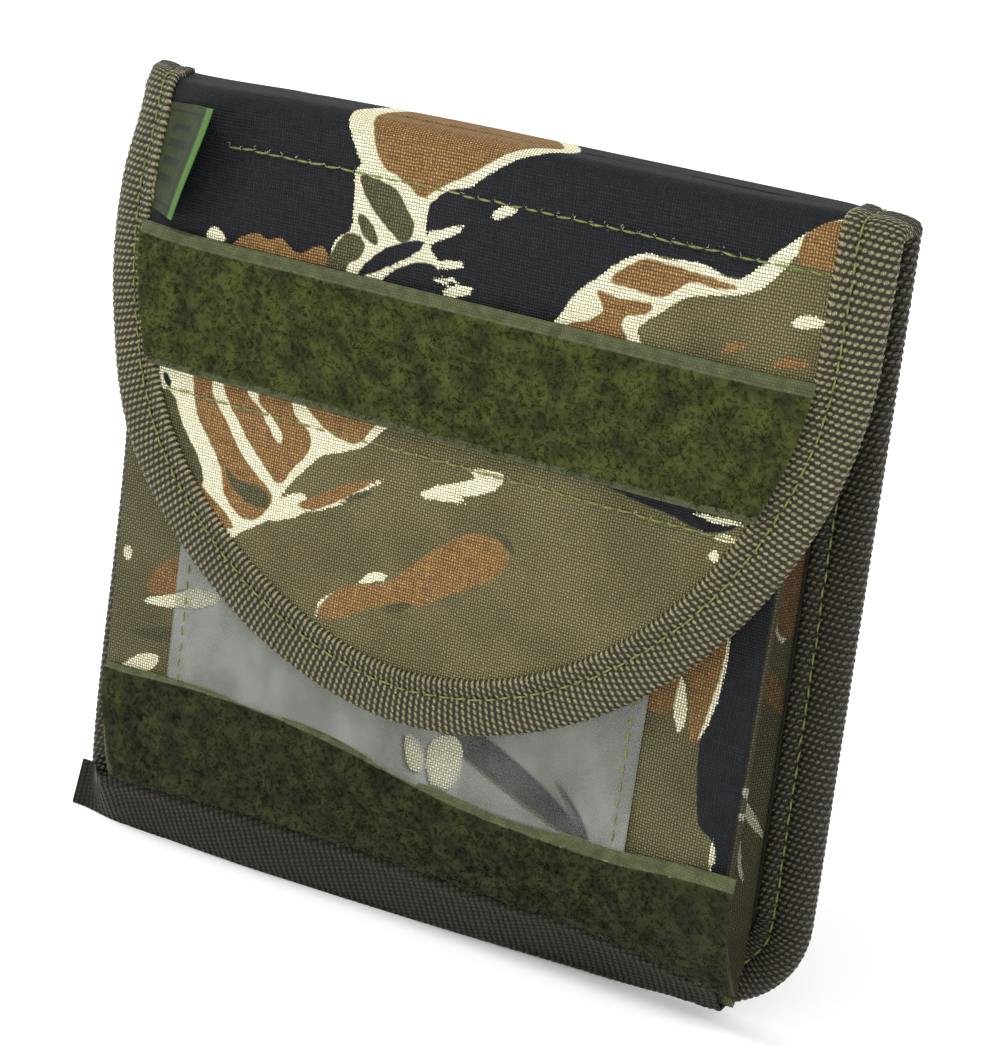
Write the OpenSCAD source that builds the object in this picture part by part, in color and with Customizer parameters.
// Flap-over fabric wallet: a stiff back, a gusseted front pocket with a clear
// card window, and a D-shaped flap that folds over the top and grips with hook
// and loop tape. Upright, facing -Y, standing on its bottom edge. Millimetres.

/* [Wallet] */
// Width over the side bindings
width = 152; // [130:1:180]
// Height when the flap is closed
height = 147; // [140:1:170]
// Depth of the top, from the back to the front fold of the flap
top_depth = 12.1; // [11:0.1:16]
// Radius of the rounded lower right corner
corner_r = 14; // [10:1:20]
// Radius of the nearly square lower left corner
square_corner_r = 3; // [1:0.5:6]

/* [Cloth] */
// Thickness of the outer cloth
cloth_t = 0.6; // [0.4:0.1:0.8]
// Thickness of the lining cloth
lining_t = 0.5; // [0.3:0.1:0.6]
// Thickness of the plastic board inside the back
board_t = 0.9; // [0.5:0.1:1.2]
// Thickness of one layer of binding tape
binding_t = 0.6; // [0.4:0.1:0.8]
// Width of binding seen on each face
binding_w = 10; // [8:0.5:12]

/* [Flap] */
// Length of the flap from the top fold to its tip
flap_len = 102.8; // [90:0.2:110]
// Length of the flap's straight sides
flap_straight = 21.6; // [10:0.2:40]
// Forward lean of the closed flap
flap_lean = 4; // [2:0.5:5]
// Power of the curve of the flap's lower edge, where 2 is an ellipse
flap_power = 1.9; // [1.7:0.05:2.4]

/* [Hook and loop tape] */
// Width of the loop strips for name tapes
strip_w = 25; // [20:1:30]
// Distance from the top fold to the flap's loop strip
strip_drop = 25.6; // [20:0.2:30]
// Width of the hook tape under the flap
hook_w = 50; // [40:1:50]
// Width of the loop field under the flap
field_w = 38; // [30:1:40]
// Thickness of the loop strips, with their pile
loop_t = 1.8; // [1.4:0.1:2.2]
// Thickness of the woven tape under the pile
tape_t = 0.8; // [0.6:0.1:0.9]
// Thickness of the hook tape and of the pressed loop field
grip_t = 1; // [0.8:0.1:1.2]

/* [Pocket] */
// Width of the front panel between its folds
front_w = 128.8; // [110:0.2:129]
// Height of the pocket's mouth
mouth_z = 130; // [120:1:132]
// Height at which the front panel starts to curve back to the bottom edge
curve_z = 34; // [30:1:40]
// Radius of that curve
curve_r = 54; // [50:1:60]
// Height of the front panel's lower edge
foot_z = 1; // [0.8:0.1:1.5]
// Clear gap between pieces that move past each other
gap = 0.3; // [0.2:0.05:0.4]
// Width of the clear window
window_w = 96; // [80:1:100]
// Place of the window's middle, to the right of the wallet's
window_x = -2.5; // [-8:0.5:8]
// Thickness of the clear sheet
window_t = 0.4; // [0.3:0.1:0.5]

/* [Stitches] */
// Distance from one stitch to the next
stitch_pitch = 3; // [2.5:0.1:4]
// Length of one stitch on the surface
stitch_len = 2.2; // [1.5:0.1:2.4]
// Thickness of the thread
thread_t = 0.35; // [0.3:0.05:0.5]

/* [Hidden] */
$fn = 64;

// The stack of cloth that a binding folds round, and the whole bound edge
stack_t = cloth_t + lining_t;
edge_t = stack_t + 2 * binding_t;
back_stack_t = cloth_t + board_t + lining_t;
back_edge_t = back_stack_t + 2 * binding_t;

// The two folds of the top lie on the outside of the binding
back_fold_y = binding_t;
front_fold_y = back_fold_y - top_depth;
flap_gap = edge_t + gap + 0.1;

// The front panel hangs behind the flap's hook tape, parallel to the flap
hook_depth = binding_t + stack_t + grip_t;
front_depth = hook_depth + gap + grip_t;
front_mouth = (height - mouth_z) / cos(flap_lean);
front_straight = (mouth_z - curve_z) / cos(flap_lean);
curve_drop = curve_z - foot_z - (front_depth + curve_r) * sin(flap_lean);
curve_angle = flap_lean + asin(curve_drop / curve_r);
front_len = front_straight + curve_r * curve_angle * PI / 180;
foot_leaf = binding_w - 1.5;

// The flap's stitch lines hold the hook tape along its two long edges
upper_line = 9.6;
hook_margin = 2.7;
lower_line = upper_line + hook_w - 2 * hook_margin;
stitch_inset = 6.6;
strip_margin = 2.2;
selvage_w = 2.7;
label_w = 10.2;
label_h = 18.8;

// The whole wallet is centred front to back over the origin
flap_tip_y = front_fold_y - flap_len * sin(flap_lean);
centre_y = -(back_fold_y + flap_tip_y) / 2;

// Points on a quarter of a circle of radius r round (x, z), from angle a to b
function arc(x, z, r, a, b, steps = 10) =
    [for (i = [0:steps]) let (t = a + (b - a) * i / steps) [x + r * cos(t), z + r * sin(t)]];

// A distance down the front panel from its mouth, as (y, z), d in front of the cloth
function front_point(s, d) =
    s <= front_straight ?
        [front_fold_y - (front_mouth + s) * sin(flap_lean) + (front_depth - d) * cos(flap_lean),
         height - (front_mouth + s) * cos(flap_lean) - (front_depth - d) * sin(flap_lean)] :
        let (start = front_point(front_straight, 0))
        let (turn = (s - front_straight) / curve_r * 180 / PI - flap_lean)
        [start[0] + curve_r * cos(flap_lean) - (curve_r + d) * cos(turn),
         start[1] - curve_r * sin(flap_lean) - (curve_r + d) * sin(turn)];

// Half the width of the flap's curved part, and its drop, at angle t of the curve
function flap_curve(t, inset) =
    [(width / 2 - inset) * sign(cos(t)) * pow(abs(cos(t)), 2 / flap_power),
     -flap_straight - (flap_len - flap_straight - inset) * pow(sin(t), 2 / flap_power)];
function flap_points(inset, steps = 48) =
    [for (i = [0:steps]) flap_curve(180 * i / steps, inset)];

// Half the flap's width at a drop from the fold
function flap_half(drop, inset) =
    let (t = max(0, drop - flap_straight) / (flap_len - flap_straight - inset))
    (width / 2 - inset) * pow(1 - pow(t, flap_power), 1 / flap_power);

// Outline of the back, with one rounded and one nearly square lower corner
module back_shape(inset, top) {
    half = width / 2;
    left_r = max(square_corner_r - inset, 0.5);
    right_r = corner_r - inset;
    polygon(concat(
        [[-half + inset, top]],
        arc(-half + inset + left_r, inset + left_r, left_r, 180, 270),
        arc(half - corner_r, corner_r, right_r, 270, 360),
        [[half - inset, top]]
    ));
}

// Outline of the flap below the distance top from the fold
module flap_shape(inset, top = 0) {
    polygon(concat(
        [[width / 2 - inset, -top]],
        flap_points(inset),
        [[-width / 2 + inset, -top]]
    ));
}

// A flat layer parallel to the back, with its rear face at y
module back_layer(y, thickness) {
    translate([0, centre_y + y, 0])
        rotate([90, 0, 0])
            linear_extrude(thickness)
                children();
}

// A flat layer of the flap, from the depth a to the depth b behind its binding
module flap_layer(a, b) {
    translate([0, centre_y + front_fold_y, height])
        rotate([90 - flap_lean, 0, 0])
            translate([0, 0, -b])
                linear_extrude(b - a)
                    children();
}

// A flat layer of the top, from the depth a to the depth b under its binding
module top_layer(x, w, a, b) {
    translate([x - w / 2, centre_y + front_fold_y + flap_gap, height - b])
        cube([w, top_depth - flap_gap, b - a]);
}

// A layer of the front panel from s0 to s1 down its length and d0 to d1 off its cloth
module front_layer(s0, s1, d0, d1, w, x = 0, steps = 12) {
    stations = [for (i = [0:steps]) s0 + (s1 - s0) * i / steps];
    translate([x - w / 2, centre_y, 0])
        rotate([90, 0, 90])
            linear_extrude(w)
                polygon(concat(
                    [for (s = stations) front_point(s, d0)],
                    [for (i = [steps:-1:0]) front_point(stations[i], d1)]
                ));
}

// One stitch lying on a face, along the local x axis
module stitch(length = stitch_len) {
    translate([-length / 2, -thread_t / 2, 0])
        cube([length, thread_t, thread_t]);
}

// A straight row of stitches w wide, centred on the local origin
module stitch_row(w) {
    count = floor(w / stitch_pitch);
    for (i = [0:count])
        translate([(i - count / 2) * stitch_pitch, 0, 0])
            stitch();
}

// Stitches on the outer face of the flap, at the height z off its binding
module on_flap(z) {
    translate([0, centre_y + front_fold_y, height])
        rotate([90 - flap_lean, 0, 0])
            translate([0, 0, z])
                children();
}

// Stitches on the straight part of the front panel, d in front of its cloth
module on_front(s, d) {
    point = front_point(s, d);
    translate([0, centre_y + point[0], point[1]])
        rotate([90 - flap_lean, 0, 0])
            children();
}

// ---- Back of the wallet ----

module back_panel() {
    color("darkolivegreen")
        back_layer(0, cloth_t)
            back_shape(binding_t, height - edge_t - gap);
}

module back_board() {
    color("dimgray")
        back_layer(-cloth_t, board_t)
            back_shape(binding_w + 1, height - edge_t - gap - 4);
}

module back_lining() {
    color("black")
        back_layer(-cloth_t - board_t, lining_t)
            back_shape(binding_t, height - edge_t - gap);
}

// One side of the pocket, from the back's lining to just behind the front fold,
// notched at its foot to clear the binding's rounded corner
module side_gusset(side) {
    stations = [for (i = [0:16]) front_len * i / 16];
    back_y = -back_stack_t;
    notch_y = back_y - binding_t;
    inner_x = front_w / 2 + gap;
    translate([side > 0 ? inner_x : -inner_x - stack_t, centre_y, 0])
        rotate([90, 0, 90])
            linear_extrude(stack_t)
                intersection() {
                    polygon(concat(
                        [for (s = stations) front_point(s, -gap)],
                        [[notch_y, 0], [notch_y, corner_r], [back_y, corner_r], [back_y, mouth_z]]
                    ));
                    translate([-width, 4])
                        square([width, height]);
                }
}

module side_gusset_left() {
    color("olive")
        side_gusset(-1);
}

module side_gusset_right() {
    color("olive")
        side_gusset(1);
}

// Folded tape round the sides and the bottom of the back
module side_binding() {
    top = height - edge_t - gap;
    color("darkkhaki")
        difference() {
            back_layer(binding_t, back_edge_t)
                difference() {
                    back_shape(0, top);
                    back_shape(binding_w, top + 1);
                }
            back_layer(0, back_stack_t)
                back_shape(binding_t, top + 1);
        }
}

// Tape along the bottom that covers the foot of the front panel, with its end
// turned back flat on the side binding at the square corner
module bottom_binding() {
    stations = [for (i = [0:6]) front_len - foot_leaf + foot_leaf * i / 6];
    front_y = -back_stack_t - binding_t;
    left_x = -front_w / 2 - 1;
    color("darkkhaki")
        translate([0, centre_y, 0]) {
            translate([left_x, 0, 0])
                rotate([90, 0, 90])
                    linear_extrude(width / 2 - corner_r - left_x)
                        polygon(concat(
                            [for (s = stations) front_point(s, gap + binding_t)],
                            [[front_point(front_len, 0)[0], 0], [front_y, 0], [front_y, binding_t]],
                            [for (i = [6:-1:0]) front_point(stations[i], gap)]
                        ));
            translate([-width / 2, front_y - binding_t, 0])
                cube([(width - front_w) / 2 - gap - stack_t, binding_t, foot_leaf]);
            translate([-width / 2, front_y - binding_t, 0])
                cube([width / 2 + left_x + 1, binding_t, foot_leaf / 3]);
        }
}

// Stitches down both sides of the back, on the front face of the binding
module binding_stitches() {
    face_y = -back_stack_t - binding_t;
    rows = floor((height - 40) / stitch_pitch);
    color("yellowgreen")
        for (side = [-1, 1], i = [0:rows])
            translate([side * (width / 2 - stitch_inset), centre_y + face_y, 20 + i * stitch_pitch])
                rotate([90, 90, 0])
                    stitch();
}

// ---- Front pocket ----

module front_panel() {
    color("darkolivegreen")
        front_layer(0, front_len, -cloth_t, 0, front_w, steps = 40);
}

module front_lining() {
    color("black")
        front_layer(0, front_len, -stack_t, -cloth_t, front_w, steps = 40);
}

// Folded tape over the pocket's mouth
module mouth_binding() {
    color("darkkhaki")
        difference() {
            front_layer(-binding_t, binding_w, -stack_t - binding_t, binding_t, front_w);
            front_layer(0, binding_w + 1, -stack_t, 0, front_w + 1);
        }
}

module front_loop_field() {
    top = binding_w + 0.3;
    color("darkgreen")
        front_layer(top, top + field_w, 0, grip_t, front_w - 6);
}

// Clear sheet over the card pocket, sewn down its two sides
module id_window() {
    top = binding_w + field_w + 1.7;
    color("lightsteelblue", 0.5)
        front_layer(top, front_straight, 0, window_t, window_w, window_x);
}

module window_stitches() {
    top = binding_w + field_w + 4;
    rows = floor((front_straight - top - 2) / stitch_pitch);
    color("yellowgreen")
        for (side = [-1, 1], i = [0:rows])
            on_front(top + i * stitch_pitch, window_t)
                translate([window_x + side * (window_w / 2 - 2.5), 0, 0])
                    rotate([0, 0, 90])
                        stitch();
}

// Woven tape with a pile between its two selvages, along the foot of the front
module lower_loop_strip() {
    top = front_straight + 0.4;
    color("darkgreen") {
        front_layer(top, top + strip_w, 0.05, tape_t, front_w);
        front_layer(top + selvage_w, top + strip_w - selvage_w, tape_t / 2, loop_t, front_w);
    }
}

// The strip's upper stitch row, just inside its selvage
module lower_strip_stitches() {
    point = front_point(front_straight + 0.4 + strip_margin, tape_t + 0.05);
    color("yellowgreen")
        translate([0, centre_y + point[0], point[1]])
            rotate([90, 0, 0])
                stitch_row(front_w - 8);
}

// ---- Top, between the two folds ----

module top_panel() {
    color("darkolivegreen")
        top_layer(0, width - 2 * binding_t, binding_t, binding_t + cloth_t);
}

module top_lining() {
    color("black")
        top_layer(0, width - 2 * binding_t, binding_t + cloth_t, binding_t + stack_t);
}

// Folded tape on one end of the top
module top_binding(side) {
    color("darkkhaki")
        difference() {
            top_layer(side * (width - binding_w) / 2, binding_w, 0, edge_t);
            translate([0, -1, 0])
                top_layer(0, width - 2 * binding_t, binding_t, binding_t + stack_t);
            translate([0, 1, 0])
                top_layer(0, width - 2 * binding_t, binding_t, binding_t + stack_t);
        }
}

module top_binding_left() {
    top_binding(-1);
}

module top_binding_right() {
    top_binding(1);
}

// ---- Flap ----

module flap_panel() {
    color("darkolivegreen")
        flap_layer(binding_t, binding_t + cloth_t)
            flap_shape(binding_t);
}

module flap_lining() {
    color("black")
        flap_layer(binding_t + cloth_t, binding_t + stack_t)
            flap_shape(binding_t);
}

// A band across the flap between its side bindings, from the drop a to the drop b
module flap_band(a, b, inset) {
    intersection() {
        flap_shape(inset);
        translate([-width / 2, -b])
            square([width, b - a]);
    }
}

module flap_hook_strip() {
    top = upper_line - hook_margin;
    color("darkslategray")
        flap_layer(binding_t + stack_t, hook_depth)
            flap_band(top, top + hook_w, binding_w + 0.2);
}

// The same tape across the flap
module flap_loop_strip() {
    bottom = strip_drop + strip_w;
    color("darkgreen") {
        flap_layer(binding_t - tape_t, binding_t)
            flap_band(strip_drop, bottom, binding_w + 0.2);
        flap_layer(binding_t - loop_t, binding_t - tape_t / 2)
            flap_band(strip_drop + selvage_w, bottom - selvage_w, binding_w + 0.2);
    }
}

// Folded tape round the flap's edge
module flap_binding() {
    color("darkkhaki")
        difference() {
            flap_layer(0, edge_t)
                difference() {
                    flap_shape(0);
                    flap_shape(binding_w, -1);
                }
            flap_layer(binding_t, binding_t + stack_t)
                flap_shape(binding_t, -1);
        }
}

// Stitches round the flap, along the binding's own curve
module flap_binding_stitches() {
    side_rows = floor((flap_straight - 3) / stitch_pitch);
    path = flap_points(stitch_inset, 72);
    color("yellowgreen")
        on_flap(0) {
            for (i = [1:len(path) - 2])
                let (along = path[i + 1] - path[i - 1])
                translate([path[i][0], path[i][1], 0])
                    rotate([0, 0, atan2(along[1], along[0])])
                        stitch(2);
            for (side = [-1, 1], i = [0:side_rows])
                translate([side * (width / 2 - stitch_inset), -3 - i * stitch_pitch, 0])
                    rotate([0, 0, 90])
                        stitch();
        }
}

// A row of stitches across the flap, between its side bindings
module flap_row(drop) {
    translate([0, -drop, 0])
        stitch_row(2 * flap_half(drop, binding_w) - stitch_pitch - 1);
}

// The upper row starts beside the label
module flap_upper_stitches() {
    color("yellowgreen")
        on_flap(-binding_t)
            translate([(label_w + 1) / 2, -upper_line, 0])
                stitch_row(width - 2 * binding_w - label_w - 5);
}

module flap_lower_stitches() {
    color("yellowgreen")
        on_flap(-binding_t)
            flap_row(lower_line);
}

// The rows along both edges of the flap's loop strip
module flap_strip_stitches() {
    color("yellowgreen")
        on_flap(tape_t - binding_t)
            for (drop = [strip_drop + strip_margin, strip_drop + strip_w - strip_margin])
                flap_row(drop);
}

// Small folded label caught under the left binding, standing out at its fold
module label_tab() {
    color("green")
        on_flap(-binding_t)
            translate([-width / 2 + binding_w + 0.2, -strip_drop + 1.2, 0])
                linear_extrude(0.5)
                    polygon([[0, 0], [0.4 * label_w, 0.4], [label_w, label_h], [0, label_h]]);
}

back_panel();
back_board();
back_lining();
side_gusset_left();
side_gusset_right();
side_binding();
bottom_binding();
binding_stitches();
front_panel();
front_lining();
mouth_binding();
front_loop_field();
id_window();
window_stitches();
lower_loop_strip();
lower_strip_stitches();
top_panel();
top_lining();
top_binding_left();
top_binding_right();
flap_panel();
flap_lining();
flap_hook_strip();
flap_loop_strip();
flap_strip_stitches();
flap_binding();
flap_binding_stitches();
flap_upper_stitches();
flap_lower_stitches();
label_tab();
